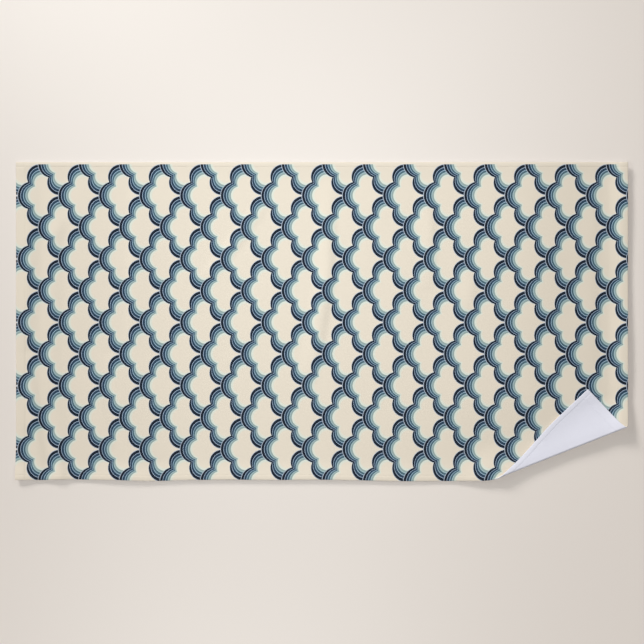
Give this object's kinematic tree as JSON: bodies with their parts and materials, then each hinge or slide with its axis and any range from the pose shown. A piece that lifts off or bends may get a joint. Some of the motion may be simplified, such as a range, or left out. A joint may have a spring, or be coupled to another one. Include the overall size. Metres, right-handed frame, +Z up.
{
  "type": "beach towel",
  "caption": "Rectangular beach towel lying flat, hemmed all round, printed on its front, with one corner turned over in a soft roll that shows the plain back.",
  "frame": {"origin": "centre of the towel's outline, on the surface it lies on", "axes": "+X along the long sides towards the end with the turned corner, +Z up, out of the printed front"},
  "size_m": [1.78, 0.9251, 0.0284],
  "materials": {
    "terry": "matt cotton terry, cream with a printed blue-green scallop repeat on the front, plain white on the back"
  },
  "bodies": {
    "root": {"towel": "terry"}
  },
  "joints": []
}
